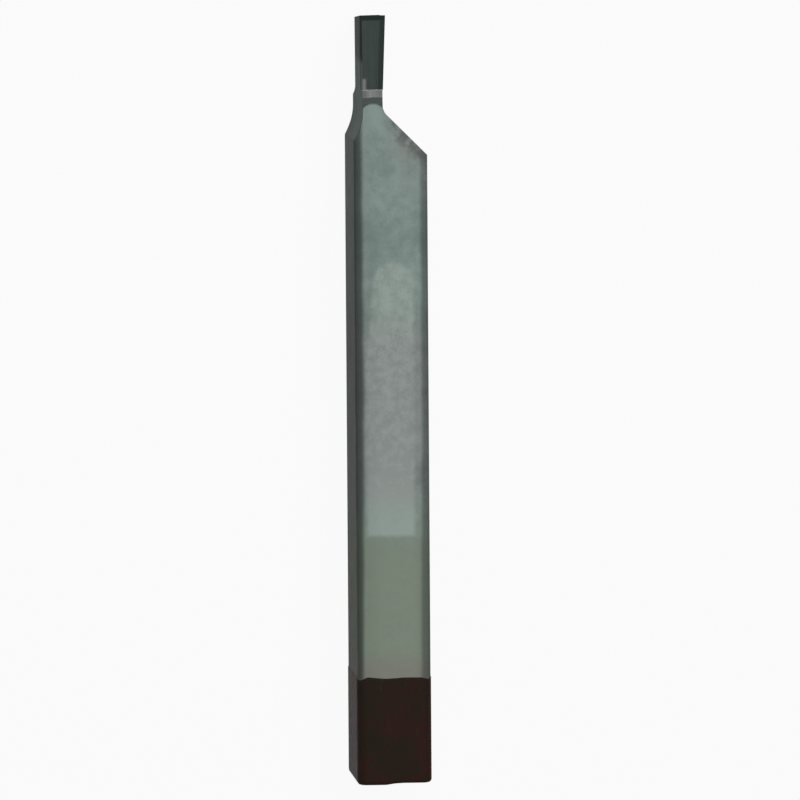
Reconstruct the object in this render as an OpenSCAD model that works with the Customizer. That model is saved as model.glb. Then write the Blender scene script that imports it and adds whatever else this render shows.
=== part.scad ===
// Brazed carbide parting tool for a lathe, right hand.
// A bar of steel with rounded edges is the shank. Its head is milled down at a sloping shoulder to
// a narrow blade, and a carbide tip is brazed into the open seat at the blade's top front corner.
// Millimetres. +X points out past the cutting edge, +Y to the left, which is the side that the blade
// is nearer to, and +Z up. The origin is under the middle of the tool, on the surface that it stands on.

/* [Shank] */
// Overall length, from the cutting edge to the back end
overall_length = 125; // [100:1:170]
// Width of the shank
shank_width = 12; // [9:0.5:16]
// Height of the shank
shank_height = 20; // [14:0.5:32]
// Radius of the shank's four long edges
edge_radius = 1.5; // [0.4:0.1:2.5]
// Chamfer round the back end
end_chamfer = 0.6; // [0.2:0.1:1.5]

/* [Blade] */
// Thickness of the steel blade
blade_thickness = 3.2; // [2:0.1:5]
// Length of the blade's bare neck, from the back of the tip to the corner of the shoulder
neck_length = 3.5; // [2.5:0.25:10]
// How far the blade lies in from the left side of the shank
side_inset = 1.5; // [0.5:0.1:2.5]
// Radius that the wheel leaves at the back end of the cut along that side
relief_runout = 9; // [4:0.5:16]
// Angle between the shoulder on the right and the shank's axis
shoulder_angle = 45; // [30:1:60]
// Radius in the corner between the blade and the shoulder
root_radius = 2; // [1:0.5:5]

/* [Carbide tip] */
// Width of the cutting edge
edge_width = 3.8; // [3:0.1:6]
// How far the cutting edge lies to the right of the blade's middle
edge_shift = 0.2; // [0:0.05:0.4]
// Length of the tip along the blade
tip_length = 12; // [6:0.5:16]
// Thickness of the tip
tip_thickness = 5; // [3:0.25:7]
// Chamfer along the tip's lower back edge
heel_chamfer = 0.6; // [0.2:0.1:1.2]
// Thickness of the braze metal under and behind the tip
braze_gap = 0.2; // [0.1:0.05:0.4]

/* [Grinding] */
// Angle at which the ground left side closes in towards the shank
left_taper = 0.25; // [0.25:0.25:2]
// Angle at which the ground right side closes in towards the shank
right_taper = 2; // [0.25:0.25:3]
// Angle at which each ground side closes in towards the base
side_clearance = 1.25; // [0.5:0.25:3]
// How far the ground sides run on behind the tip
grind_overrun = 0.4; // [0.2:0.1:2]
// Radius that the wheel leaves at the back end of each ground side
grind_runout = 3; // [1:0.5:6]
// Front clearance ground on the tip
tip_front_clearance = 3; // [2:0.5:10]
// Front clearance ground on the steel below the tip
front_clearance = 4; // [3:0.5:12]
// How far the rake face is ground below the top of the shank
rake_drop = 0.2; // [0.1:0.05:0.6]
// Flat of bare steel that is ground behind the tip
rake_land = 1.1; // [0.5:0.1:2]
// Radius that the wheel leaves behind that flat
rake_runout = 3; // [1:0.1:6]

/* [Hidden] */
$fn = 64;

LEFT = 1;
RIGHT = -1;

// Room by which each cut runs out past the bar
over = shank_height;

// The two ends, the rake face and the seat
front_x = overall_length / 2;
back_x = -overall_length / 2;
rake_z = shank_height - rake_drop;
tip_back_x = front_x - tip_length;
tip_base_z = rake_z - tip_thickness;
seat_back_x = tip_back_x - braze_gap;
seat_z = tip_base_z - braze_gap;

// The blade, and the ground sides of its front
blade_length = tip_length + neck_length;
grind_length = tip_length + grind_overrun;

// Where the tip's front ends, and the steel's front takes over at its own angle
tip_toe_x = front_x - tip_thickness * tan(tip_front_clearance);
function steel_front_x(z) = tip_toe_x - (tip_base_z - z) * tan(front_clearance);

// Middle of the blade across the shank, and how far each end of the cutting edge is from it
blade_middle_y = shank_width / 2 - side_inset - blade_thickness / 2;
function edge_reach(side) = edge_width / 2 - side * edge_shift;

// Outline of the shank across its length: a rectangle with four round corners
module bar_section() {
    flat_w = shank_width - 2 * edge_radius;
    flat_h = shank_height - 2 * edge_radius;
    translate([-shank_width / 2, edge_radius]) square([shank_width, flat_h]);
    translate([-flat_w / 2, 0]) square([flat_w, shank_height]);
    for (y = [-flat_w / 2, flat_w / 2], z = [edge_radius, edge_radius + flat_h])
        translate([y, z]) circle(r = edge_radius);
}

// The bar that the shank is made from, chamfered round its back end
module bar() {
    corner = end_chamfer * sqrt(2);
    difference() {
        translate([back_x, 0, 0]) rotate([90, 0, 90]) linear_extrude(overall_length) bar_section();
        for (z = [0, shank_height])
            translate([back_x, 0, z]) rotate([0, 45, 0])
                cube([corner, 2 * shank_width, corner], center = true);
        for (y = [-shank_width / 2, shank_width / 2])
            translate([back_x, y, shank_height / 2]) rotate([0, 0, 45])
                cube([corner, corner, 2 * shank_height], center = true);
    }
}

// Extrudes a side view, drawn in x and z, to a width about the middle of the blade
module across(width) {
    translate([0, blade_middle_y + width / 2, 0]) rotate([90, 0, 0]) linear_extrude(width) children();
}

// Sets children against one side of the blade, with their origin level with the cutting edge. Their x
// runs forwards along the side, their y points outwards, and their z leans by the clearance.
module on_side(side, half_width, clearance = 0, taper = 0) {
    translate([front_x, blade_middle_y, rake_z])
        mirror([0, side == RIGHT ? 1 : 0, 0])
            translate([0, half_width, 0])
                rotate([-clearance, 0, 0])
                    rotate([0, 0, taper])
                        children();
}

// Extrudes a plan right through the height of the bar
module through() {
    translate([0, 0, -2 * shank_height]) linear_extrude(4 * shank_height) children();
}

// Sets children against one ground side of the blade's front
module on_ground(side) {
    on_side(side, edge_reach(side), side_clearance, side == LEFT ? left_taper : right_taper) children();
}

// Everything outside one ground side
module outside_ground(side) {
    on_ground(side)
        through() translate([-overall_length / 2, 0]) square([overall_length, 2 * shank_width]);
}

// Profile of a straight grinding pass. Its floor runs from the origin along x, and the wheel lifts
// off along an arc behind the origin.
module wheel_pass(run, runout) {
    square([run, 2 * runout]);
    translate([0, runout]) circle(r = runout);
}

// Plan of the milled corner beside the blade: along the blade's side, round the root radius and out
// along the shoulder
module shoulder_plan() {
    tangent = root_radius * tan(shoulder_angle / 2);
    reach = 2 * shank_width;
    polygon([
        [-blade_length + tangent, 0],
        [-blade_length - tangent * cos(shoulder_angle), tangent * sin(shoulder_angle)],
        [-blade_length - reach / tan(shoulder_angle), reach],
        [over, reach],
        [over, 0]
    ]);
    translate([-blade_length + tangent, root_radius]) circle(r = root_radius);
}

// Mills the shank away beside the blade, up to the shoulder
module shoulder_cut() {
    on_side(RIGHT, blade_thickness / 2) through() shoulder_plan();
}

// Cuts the shank away along the side that the blade is nearer to
module relief_cut() {
    on_side(LEFT, blade_thickness / 2)
        through() translate([-blade_length, 0]) wheel_pass(blade_length + over, relief_runout);
}

// Grinds one side of the blade's front to its clearance, together with the tip
module side_grind(side) {
    on_ground(side)
        through() translate([-grind_length, 0]) wheel_pass(grind_length + over, grind_runout);
}

// Grinds the rake face down from the top of the shank
module rake_cut() {
    across(2 * shank_width)
        translate([seat_back_x - rake_land, rake_z]) wheel_pass(tip_length + over, rake_runout);
}

// Cuts the open seat for the tip
module seat_cut() {
    translate([seat_back_x, -shank_width, seat_z]) cube([tip_length + over, 2 * shank_width, over]);
}

// Trims the blade's front to its clearance, below the tip
module front_cut() {
    across(2 * shank_width) polygon([
        [steel_front_x(tip_base_z), tip_base_z],
        [steel_front_x(-over), -over],
        [front_x + over, -over],
        [front_x + over, tip_base_z]
    ]);
}

// The steel shank and blade, with the seat cut and every face ground
module shank() {
    color([0.47, 0.53, 0.51]) difference() {
        bar();
        shoulder_cut();
        relief_cut();
        for (side = [LEFT, RIGHT]) side_grind(side);
        rake_cut();
        seat_cut();
        front_cut();
    }
}

// The sintered tip, ground to its clearances on both sides and in front
module carbide_tip() {
    color([0.24, 0.27, 0.26]) difference() {
        across(2 * shank_width) polygon([
            [front_x, rake_z],
            [tip_toe_x, tip_base_z],
            [tip_back_x + heel_chamfer, tip_base_z],
            [tip_back_x, tip_base_z + heel_chamfer],
            [tip_back_x, rake_z]
        ]);
        for (side = [LEFT, RIGHT]) outside_ground(side);
    }
}

// The braze metal that fills the seat under, behind and at the heel of the tip
module braze_layer() {
    color([0.72, 0.66, 0.5]) difference() {
        across(blade_thickness) polygon([
            [tip_toe_x, tip_base_z],
            [tip_back_x + heel_chamfer, tip_base_z],
            [tip_back_x, tip_base_z + heel_chamfer],
            [tip_back_x, rake_z],
            [seat_back_x, rake_z],
            [seat_back_x, seat_z],
            [steel_front_x(seat_z), seat_z]
        ]);
        for (side = [LEFT, RIGHT]) outside_ground(side);
    }
}

shank();
carbide_tip();
braze_layer();
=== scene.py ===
"""Looks of a brazed carbide parting tool for a lathe.

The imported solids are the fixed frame. Every visible piece is modelled here in millimetres, at its place
in that frame, brought to metres and dressed in a procedural finish of its own.
"""
import logging
import math
from abc import ABC, abstractmethod
from contextlib import contextmanager
from dataclasses import dataclass
from enum import Enum, IntEnum
from typing import Any, Callable, Iterator, Optional, Union

import bmesh
import bpy
from mathutils import Matrix, Vector, noise


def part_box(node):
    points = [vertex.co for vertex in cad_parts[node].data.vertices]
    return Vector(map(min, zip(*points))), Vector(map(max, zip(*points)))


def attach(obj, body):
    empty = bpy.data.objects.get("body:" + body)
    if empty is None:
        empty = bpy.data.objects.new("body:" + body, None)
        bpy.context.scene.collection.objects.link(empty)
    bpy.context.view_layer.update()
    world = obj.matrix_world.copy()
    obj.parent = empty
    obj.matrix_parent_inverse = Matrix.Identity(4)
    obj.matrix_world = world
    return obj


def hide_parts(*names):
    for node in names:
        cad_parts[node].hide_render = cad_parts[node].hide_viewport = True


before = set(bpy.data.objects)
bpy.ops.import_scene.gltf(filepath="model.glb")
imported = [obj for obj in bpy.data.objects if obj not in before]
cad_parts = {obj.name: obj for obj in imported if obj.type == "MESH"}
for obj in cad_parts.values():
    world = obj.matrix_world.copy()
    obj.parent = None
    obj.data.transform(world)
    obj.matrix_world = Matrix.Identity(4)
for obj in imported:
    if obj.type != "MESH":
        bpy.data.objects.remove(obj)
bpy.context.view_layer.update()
BODY = "root"
MM_PER_M = 1000.0

# Limits within which edges and faces count as lying along an axis, at a place or across an axis
PARALLEL = 0.999
TOUCH = 1e-3
FACING = 0.9

log = logging.getLogger("parting_tool")

Number = Union[float, int]
Span = tuple[float, float]
Triple = tuple[float, float, float]
Parts = tuple[float, ...]
Colour = Triple
EdgeTest = Callable[[bmesh.types.BMEdge], bool]
FaceTest = Callable[[bmesh.types.BMFace], bool]

WHITE: Colour = (1.0, 1.0, 1.0)


class Axis(IntEnum):
    """The three axes, by their place in a vector."""

    X = 0
    Y = 1
    Z = 2


class Pick(Enum):
    """What is picked out in edit mode."""

    POINTS = "VERT"
    EDGES = "EDGE"
    FACES = "FACE"


class Modifier(Enum):
    """Modifiers that pieces are worked with."""

    CUT = "BOOLEAN"
    WALL = "SOLIDIFY"
    NORMALS = "WEIGHTED_NORMAL"


class Maths(Enum):
    """What a Math node does."""

    ADD = "ADD"
    SUBTRACT = "SUBTRACT"
    MULTIPLY = "MULTIPLY"
    SIZE = "ABSOLUTE"
    ROOT = "SQRT"
    MOST = "MAXIMUM"
    LEAST = "MINIMUM"


class Side(Enum):
    """The two sides of the blade, by the sign of their Y."""

    LEFT = 1
    RIGHT = -1


class Slot(Enum):
    """Material slots of the record."""

    PAINT = "shank_paint"
    CARBIDE = "carbide"
    BRAZE = "braze"


class Solid(Enum):
    """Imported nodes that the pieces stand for."""

    SHANK = "shank"
    TIP = "carbide_tip"
    BRAZE = "braze_layer"

    def box(self) -> tuple[Vector, Vector]:
        """Give its lowest and highest corner in millimetres."""
        low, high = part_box(self.value)
        return low * MM_PER_M, high * MM_PER_M


class Bench:
    """Modelling steps as they are done by hand, on pieces that are measured in millimetres."""

    MERGE = 1e-4
    ROUND_PROFILE = 0.5
    SMOOTH_BELOW = 34.0

    def clear(self) -> None:
        """Leave edit mode and deselect everything."""
        active = bpy.context.view_layer.objects.active
        if active and active.mode != "OBJECT":
            bpy.ops.object.mode_set(mode="OBJECT")
        bpy.ops.object.select_all(action="DESELECT")

    def take(self, piece: bpy.types.Object) -> None:
        """Make a piece the only selected and active one.

        Args:
            piece: The piece.
        """
        self.clear()
        piece.select_set(True)
        bpy.context.view_layer.objects.active = piece

    def settle(self) -> None:
        """Bring the place, turn and scale of the piece that was taken into its mesh."""
        bpy.ops.object.transform_apply(location=True, rotation=True, scale=True)

    def block(self, name: str, low: Vector, high: Vector) -> bpy.types.Object:
        """Add a cube between two corners.

        Args:
            name: Name of the new piece.
            low: Its lowest corner.
            high: Its highest corner.

        Returns:
            The new piece.
        """
        self.clear()
        bpy.ops.mesh.primitive_cube_add(size=1.0, location=(low + high) / 2, scale=high - low)
        piece = bpy.context.object
        piece.name = name
        piece.data.name = name
        self.settle()
        return piece

    @contextmanager
    def editing(
        self, piece: bpy.types.Object, pick: Pick = Pick.EDGES, whole: bool = False
    ) -> Iterator[bmesh.types.BMesh]:
        """Open a piece in edit mode.

        Args:
            piece: The piece to open.
            pick: What is picked out.
            whole: Start with everything selected, or with nothing.

        Yields:
            The mesh in edit mode.
        """
        self.take(piece)
        bpy.ops.object.mode_set(mode="EDIT")
        bpy.ops.mesh.select_mode(type=pick.value)
        bpy.ops.mesh.select_all(action="SELECT" if whole else "DESELECT")
        yield bmesh.from_edit_mesh(piece.data)
        bpy.ops.object.mode_set(mode="OBJECT")

    def bevel(self, piece: bpy.types.Object, test: EdgeTest, width: float, segments: int) -> None:
        """Round the edges that pass a test.

        Args:
            piece: The piece to work on.
            test: Says which edges are rounded.
            width: How far the rounding reaches from each edge.
            segments: Facets in the rounding.
        """
        with self.editing(piece) as mesh:
            for edge in mesh.edges:
                edge.select_set(test(edge))
            mesh.select_flush_mode()
            bmesh.update_edit_mesh(piece.data)
            bpy.ops.mesh.bevel(
                offset_type="OFFSET",
                offset=width,
                segments=segments,
                profile=self.ROUND_PROFILE,
                affect="EDGES",
                clamp_overlap=True,
            )

    def bisect(self, piece: bpy.types.Object, point: Vector, normal: Vector, trim: bool = True) -> None:
        """Cut a piece with a plane.

        Args:
            piece: The piece to cut.
            point: A point of the plane.
            normal: The plane's normal.
            trim: Take away what lies on the normal's side and close the cut, or only add the edges.
        """
        with self.editing(piece, whole=True):
            bpy.ops.mesh.bisect(
                plane_co=point, plane_no=normal, use_fill=trim, clear_outer=trim, threshold=self.MERGE
            )

    def score(self, piece: bpy.types.Object, axis: Axis, place: float) -> None:
        """Add the edges where a plane across an axis meets a piece."""
        unit = Matrix.Identity(3)[axis].copy()
        self.bisect(piece, unit * place, unit, trim=False)

    def drop_faces(self, piece: bpy.types.Object, test: FaceTest) -> None:
        """Delete the faces that pass a test.

        Args:
            piece: The piece to work on.
            test: Says which faces go.
        """
        with self.editing(piece, Pick.FACES) as mesh:
            for face in mesh.faces:
                face.select_set(test(face))
            bmesh.update_edit_mesh(piece.data)
            bpy.ops.mesh.delete(type="FACE")

    def place(self, piece: bpy.types.Object, matrix: Matrix) -> None:
        """Move a piece and turn its faces outwards again, because a side's frame may mirror it.

        Args:
            piece: The piece to move.
            matrix: Its place.
        """
        self.take(piece)
        piece.matrix_world = matrix
        self.settle()
        with self.editing(piece, whole=True):
            bpy.ops.mesh.normals_make_consistent(inside=False)

    def modify(self, piece: bpy.types.Object, kind: Modifier, **settings: Any) -> None:
        """Add a modifier to a piece and apply it.

        Args:
            piece: The piece to work on.
            kind: The modifier.
            settings: Its properties.
        """
        self.take(piece)
        bpy.ops.object.modifier_add(type=kind.value)
        modifier = piece.modifiers[-1]
        for name, value in settings.items():
            setattr(modifier, name, value)
        bpy.ops.object.modifier_apply(modifier=modifier.name)

    def carve(self, piece: bpy.types.Object, cutter: bpy.types.Object) -> None:
        """Cut one piece out of another and delete the cutter."""
        self.modify(piece, Modifier.CUT, operation="DIFFERENCE", solver="EXACT", object=cutter)
        bpy.data.objects.remove(cutter, do_unlink=True)

    def to_metres(self, piece: bpy.types.Object) -> None:
        """Close a finished piece's mesh, bring it to metres and smooth its rounded edges.

        Args:
            piece: The finished piece, in millimetres.
        """
        with self.editing(piece, whole=True):
            bpy.ops.mesh.remove_doubles(threshold=self.MERGE)
        self.take(piece)
        piece.scale = Vector.Fill(3, 1 / MM_PER_M)
        self.settle()
        bpy.ops.object.shade_smooth_by_angle(angle=math.radians(self.SMOOTH_BELOW))
        self.modify(piece, Modifier.NORMALS, keep_sharp=True)


def along(axis: Axis) -> EdgeTest:
    """Give a test for edges that run along an axis.

    Args:
        axis: The axis.

    Returns:
        The test.
    """

    def runs_along(edge: bmesh.types.BMEdge) -> bool:
        """Say whether an edge runs along the axis."""
        way = (edge.verts[1].co - edge.verts[0].co).normalized()
        return abs(way[axis]) > PARALLEL

    return runs_along


def lying_at(axis: Axis, place: float) -> EdgeTest:
    """Give a test for edges whose two ends lie in a plane across an axis."""
    return lambda edge: all(abs(vert.co[axis] - place) < TOUCH for vert in edge.verts)


def through(axis: Axis, corner: Vector) -> EdgeTest:
    """Give a test for the edge that runs along an axis through a corner."""
    tests = [lying_at(other, corner[other]) for other in Axis if other != axis]
    return lambda edge: all(test(edge) for test in tests)


def bends(edge: bmesh.types.BMEdge, degrees: float) -> bool:
    """Say whether the two faces at an edge meet at more than an angle."""
    return edge.calc_face_angle(0.0) > math.radians(degrees)


class Wire:
    """A value in a shader, with the arithmetic that the finishes use."""

    NOISE_MIDDLE = 0.5

    def __init__(self, kit: "NodeKit", socket: bpy.types.NodeSocket) -> None:
        """Keep the node tree and the socket that the value comes from."""
        self.kit = kit
        self.socket = socket

    def maths(self, operation: Maths, *values: "Signal") -> "Wire":
        """Add one Math node with its operands in order."""
        return self.kit.add("ShaderNodeMath", {"operation": operation.value}, dict(enumerate(values)))

    def __add__(self, other: "Signal") -> "Wire":
        """Add another value."""
        return self.maths(Maths.ADD, self, other)

    __radd__ = __add__

    def __sub__(self, other: "Signal") -> "Wire":
        """Take another value away."""
        return self.maths(Maths.SUBTRACT, self, other)

    def __rsub__(self, other: Number) -> "Wire":
        """Take this value away from a number."""
        return self.maths(Maths.SUBTRACT, other, self)

    def __mul__(self, other: "Signal") -> "Wire":
        """Multiply by another value."""
        return self.maths(Maths.MULTIPLY, self, other)

    __rmul__ = __mul__

    def __abs__(self) -> "Wire":
        """Give the size without its sign."""
        return self.maths(Maths.SIZE, self)

    def root(self) -> "Wire":
        """Give the square root."""
        return self.maths(Maths.ROOT, self)

    def most(self, other: "Signal") -> "Wire":
        """Give the larger of two values."""
        return self.maths(Maths.MOST, self, other)

    def least(self, other: "Signal") -> "Wire":
        """Give the smaller of two values."""
        return self.maths(Maths.LEAST, self, other)

    def swing(self, amount: Number) -> "Wire":
        """Bring noise to about 0 and give it an amount."""
        return (self - self.NOISE_MIDDLE) * amount

    def rise(self, span: Span, low: Number = 0.0, high: Number = 1.0) -> "Wire":
        """Give a smooth step from one level to another.

        Args:
            span: Where the step begins and where it is complete, which may be the lower of the two.
            low: The level before the step.
            high: The level after it.

        Returns:
            The step.
        """
        start, end = span
        if start > end:
            start, end, low, high = end, start, high, low
        return self.kit.add(
            "ShaderNodeMapRange",
            {"interpolation_type": "SMOOTHSTEP"},
            {"Value": self, "From Min": start, "From Max": end, "To Min": low, "To Max": high},
        )


Signal = Union[Wire, Number]
Paintable = Union[Wire, Colour]


def weigh(parts: Parts, *wires: Wire) -> Wire:
    """Add up values, each with its part."""
    first, *rest = (wire * part for wire, part in zip(wires, parts))
    return sum(rest, first)


@dataclass(frozen=True)
class Grain:
    """Smooth noise from 0 to 1, with so many waves to the millimetre.

    It may be drawn out by a scale for each axis, and turned by an angle in degrees about Z.
    """

    scale: float
    detail: float = 2.0
    roughness: float = 0.5
    stretch: Triple = (1.0, 1.0, 1.0)
    turn: float = 0.0


class NodeKit:
    """The node tree of one material, or of the world."""

    CELL_SMOOTHNESS = 0.6

    # A Mix node has sockets of the same name for other kinds of value, so its colours go by number
    MIX_FACTOR, MIX_FIRST, MIX_SECOND, MIX_RESULT = 0, 6, 7, 2

    def __init__(self, owner: Union[bpy.types.Material, bpy.types.World]) -> None:
        """Empty the owner's node tree.

        Args:
            owner: The material or world.
        """
        self.owner = owner
        owner.use_nodes = True
        self.tree = owner.node_tree
        self.tree.nodes.clear()
        self.places: dict[tuple[Triple, float], Wire] = {}

    @classmethod
    def material(cls, name: str) -> "NodeKit":
        """Start an empty material."""
        return cls(bpy.data.materials.new(name))

    def add(
        self,
        kind: str,
        settings: Optional[dict[str, Any]] = None,
        inputs: Optional[dict[Union[str, int], Any]] = None,
        output: Union[str, int] = 0,
    ) -> Wire:
        """Add any node.

        Args:
            kind: The node's type.
            settings: Its properties, set first.
            inputs: Values or wires for its sockets, by name or place.
            output: The socket to carry on from.

        Returns:
            The chosen output.
        """
        node = self.tree.nodes.new(kind)
        for name, value in (settings or {}).items():
            setattr(node, name, value)
        for key, value in (inputs or {}).items():
            socket = node.inputs[key]
            if isinstance(value, Wire):
                self.tree.links.new(value.socket, socket)
            elif isinstance(value, tuple) and socket.type == "RGBA":
                socket.default_value = (*value, 1.0)
            else:
                socket.default_value = value
        return Wire(self, node.outputs[output])

    def place(self, stretch: Triple = (1.0, 1.0, 1.0), turn: float = 0.0) -> Wire:
        """Give the place on the piece in millimetres, from nodes that are added once.

        Args:
            stretch: Scale of each axis, to draw a pattern out.
            turn: Angle in degrees about Z.

        Returns:
            The place as a vector.
        """
        key = (stretch, turn)
        if key not in self.places:
            inputs = {
                "Vector": self.add("ShaderNodeTexCoord", output="Object"),
                "Scale": tuple(MM_PER_M * part for part in stretch),
                "Rotation": (0.0, 0.0, math.radians(turn)),
            }
            self.places[key] = self.add("ShaderNodeMapping", None, inputs)
        return self.places[key]

    def axes(self) -> tuple[Wire, Wire, Wire]:
        """Give the three coordinates of the place in millimetres.

        Returns:
            X, Y and Z.
        """
        split = self.add("ShaderNodeSeparateXYZ", None, {0: self.place()})
        x, y, z = (Wire(self, output) for output in split.socket.node.outputs)
        return x, y, z

    def grain(self, grain: Grain) -> Wire:
        """Give a pattern's noise.

        Args:
            grain: The pattern.

        Returns:
            The noise, from 0 to 1.
        """
        inputs = {
            "Vector": self.place(grain.stretch, grain.turn),
            "Scale": grain.scale,
            "Detail": grain.detail,
            "Roughness": grain.roughness,
        }
        return self.add("ShaderNodeTexNoise", None, inputs)

    def cells(self, scale: float) -> Wire:
        """Give rounded cells, with so many to the millimetre, that fall to 0 at their middles."""
        inputs = {"Vector": self.place(), "Scale": scale, "Smoothness": self.CELL_SMOOTHNESS}
        return self.add("ShaderNodeTexVoronoi", {"feature": "SMOOTH_F1"}, inputs, "Distance")

    def mix(self, factor: Signal, first: Paintable, second: Paintable) -> Wire:
        """Mix two colours.

        Args:
            factor: 0 for the first and 1 for the second.
            first: A colour.
            second: Another colour.

        Returns:
            The mixed colour.
        """
        inputs = {self.MIX_FACTOR: factor, self.MIX_FIRST: first, self.MIX_SECOND: second}
        return self.add("ShaderNodeMix", {"data_type": "RGBA"}, inputs, self.MIX_RESULT)

    def close(
        self,
        colour: Wire,
        roughness: Wire,
        metallic: Signal,
        relief: Wire,
        depth: float,
        specular: float,
    ) -> bpy.types.Material:
        """Finish the material with one surface shader.

        Args:
            colour: The base colour.
            roughness: The roughness.
            metallic: The metallic part.
            relief: Relief from 0 to 1.
            depth: The relief's full depth in millimetres.
            specular: The shader's specular level.

        Returns:
            The material.
        """
        inputs = {
            "Base Color": colour,
            "Roughness": roughness,
            "Metallic": metallic,
            "Normal": self.add("ShaderNodeBump", None, {"Height": relief, "Distance": depth / MM_PER_M}),
            "Specular IOR Level": specular,
        }
        self.add_output(self.add("ShaderNodeBsdfPrincipled", None, inputs))
        return self.owner

    def add_output(self, shader: Wire, kind: str = "ShaderNodeOutputMaterial") -> None:
        """Link a shader to the surface of the tree's owner."""
        output = self.tree.nodes.new(kind)
        self.tree.links.new(shader.socket, output.inputs["Surface"])


@dataclass
class Head:
    """Sizes of the tool that its pieces share, in millimetres and degrees."""

    neck: float = 3.5
    side_clearance: float = 1.25
    left_taper: float = 0.25
    right_taper: float = 2.0
    tip_front_clearance: float = 3.0
    front_clearance: float = 4.0
    rake_land: float = 1.1
    shoulder_angle: float = 45.0
    unpainted: float = 7.6

    def __post_init__(self) -> None:
        """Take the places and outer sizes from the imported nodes."""
        shank_low, shank_high = Solid.SHANK.box()
        self.tip_low, self.tip_high = Solid.TIP.box()
        self.seat_low, self.seat_high = Solid.BRAZE.box()
        self.front = self.tip_high.x
        self.back = shank_low.x
        self.width = shank_high.y - shank_low.y
        self.height = shank_high.z
        self.rake = self.tip_high.z
        self.middle = (self.seat_high.y + self.seat_low.y) / 2
        self.blade_half = (self.seat_high.y - self.seat_low.y) / 2
        self.reach = {Side.LEFT: self.tip_high.y - self.middle, Side.RIGHT: self.middle - self.tip_low.y}
        self.taper = {Side.LEFT: self.left_taper, Side.RIGHT: self.right_taper}
        self.tip_length = self.front - self.tip_low.x
        self.blade_length = self.tip_length + self.neck
        self.toe = Vector((self.seat_high.x, 0, self.tip_low.z))
        self.land_back = self.seat_low.x - self.rake_land
        self.paint_end = self.front - self.unpainted
        self.shoulder_corner = Vector((self.front - self.blade_length, self.middle - self.blade_half, 0))

    def on_side(self, side: Side, half: float, clearance: float = 0.0, taper: float = 0.0) -> Matrix:
        """Give the place of one side of the blade.

        Args:
            side: The side.
            half: How far it is from the blade's middle, level with the cutting edge.
            clearance: How far it leans in towards the base, in degrees.
            taper: How far it closes in towards the shank, in degrees.

        Returns:
            A frame level with the cutting edge, with x forwards along the side and y outwards.
        """
        mirror = Matrix.Diagonal((1, side.value, 1, 1))
        lean = Matrix.Rotation(math.radians(-clearance), 4, "X")
        turn = Matrix.Rotation(math.radians(taper), 4, "Z")
        corner = Matrix.Translation((0, half, 0))
        return Matrix.Translation((self.front, self.middle, self.rake)) @ mirror @ corner @ lean @ turn

    def ground(self, side: Side) -> Matrix:
        """Give the place of one ground side of the tip."""
        return self.on_side(side, self.reach[side], self.side_clearance, self.taper[side])

    def trim_sides(self, bench: Bench, piece: bpy.types.Object, proud: float = 0.0) -> None:
        """Cut a piece off along the two ground sides.

        Args:
            bench: The modelling bench.
            piece: The piece to cut.
            proud: How far the cut stays out from each side.
        """
        for side in Side:
            place = self.ground(side)
            outwards = (place.to_3x3() @ Vector((0, 1, 0))).normalized()
            bench.bisect(piece, place.translation + outwards * proud, outwards)

    def trim_front(self, bench: Bench, piece: bpy.types.Object, point: Vector, clearance: float) -> None:
        """Cut a piece off at a front that falls back towards the base."""
        angle = math.radians(clearance)
        bench.bisect(piece, point, Vector((math.cos(angle), 0, -math.sin(angle))))


class ShankSpot:
    """What the layers of the shank's finish read: a spot's place and the noise there."""

    CLOUDS = Grain(0.10)
    MOTTLE = Grain(0.55, 4.0, 0.6)
    SPECKS = Grain(2.8)
    PATCHES = Grain(0.42, 3.0, 0.6)
    LINES = Grain(1.0, 4.0, 0.7, (0.10, 2.6, 2.6), 4.0)
    SCRATCHES = Grain(1.0, 3.0, 0.6, (0.05, 2.4, 2.4), 7.0)
    HAMMER_SCALE = 0.85
    RAGGED = 1.1
    TOP_BORDER = (0.6, 0.3)

    def __init__(self, kit: NodeKit, head: Head) -> None:
        """Add the nodes that the layers share.

        Args:
            kit: The material's nodes.
            head: Sizes of the tool.
        """
        self.kit = kit
        self.head = head
        self.x, self.y, z = kit.axes()
        self.clouds = kit.grain(self.CLOUDS)
        self.mottle = kit.grain(self.MOTTLE)
        self.specks = kit.grain(self.SPECKS)
        self.patches = kit.grain(self.PATCHES)
        self.lines = kit.grain(self.LINES)
        self.scratches = kit.grain(self.SCRATCHES)
        self.hammer = kit.cells(self.HAMMER_SCALE)
        self.ragged = self.mottle.swing(self.RAGGED)
        self.depth = head.height - z
        self.top = (head.rake - z).rise(self.TOP_BORDER)
        half = head.height / 2
        self.from_edge = (head.width / 2 - abs(self.y)).most(half - abs(z - half))
        turn = math.radians(head.shoulder_angle)
        corner = head.shoulder_corner
        self.from_shoulder = (corner.x - self.x) * math.sin(turn) + (self.y - corner.y) * math.cos(turn)


@dataclass(frozen=True)
class Tints:
    """Colours that several layers of the shank's finish use."""

    thin: Colour = (0.212, 0.206, 0.202)
    # also the colour of the painted shade along the shank's edges
    oxide_and_shade: Colour = (0.030, 0.036, 0.034)


@dataclass(frozen=True)
class WearAndShade(Tints, ABC):
    """Something laid over the paint: wear from time and use, a dark arch behind the tip, or painted shade."""

    @abstractmethod
    def over(self, paint: Wire, spot: ShankSpot) -> Wire:
        """Lay it over the paint.

        Args:
            paint: The colour below.
            spot: The spot's place and noise.

        Returns:
            The colour with it laid over.
        """


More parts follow.
